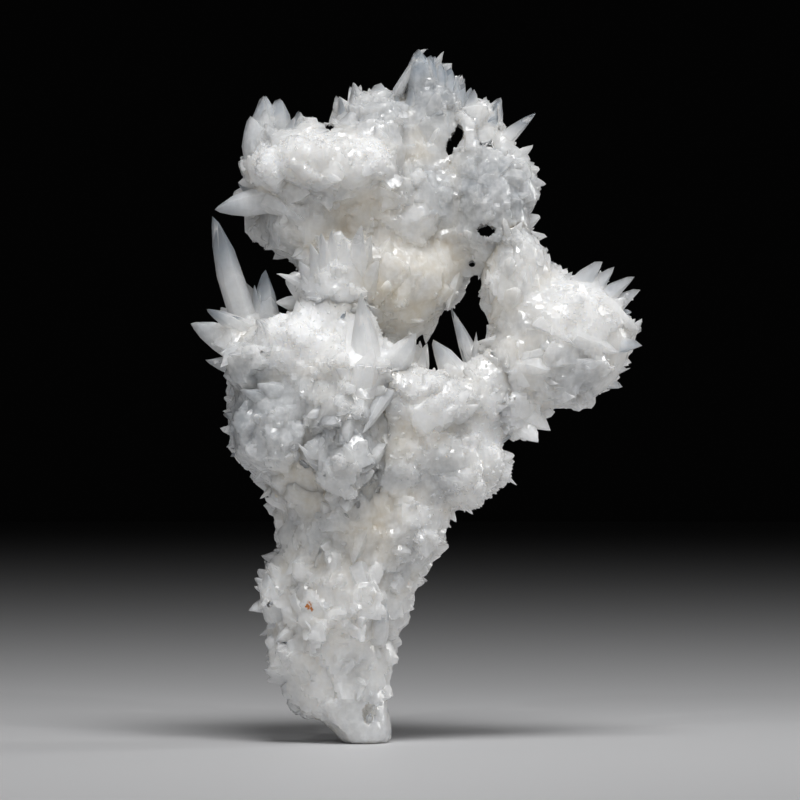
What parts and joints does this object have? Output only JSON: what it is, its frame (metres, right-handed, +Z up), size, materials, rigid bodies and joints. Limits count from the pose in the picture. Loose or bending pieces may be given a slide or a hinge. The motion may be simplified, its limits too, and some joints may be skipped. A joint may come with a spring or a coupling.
{
  "type": "calcite cluster",
  "caption": "Free-standing branching cluster of white calcite crystals: a crusted stem on a smooth foot, opening into a spray, a crown and a side lobe of pointed crystals.",
  "frame": {"origin": "on the ground, in the middle of the flat cut under the foot", "axes": "+Z up the stem, +X to the right and -Y towards the viewer in the front view"},
  "size_m": [0.0901, 0.0515, 0.1386],
  "materials": {
    "calcite": "milky white translucent crystal with glassy facets, clearer at the tips and faintly cream in the hollows"
  },
  "bodies": {
    "root": {"trunk": "calcite", "left_branch": "calcite", "crown": "calcite", "right_branch": "calcite"}
  },
  "joints": []
}
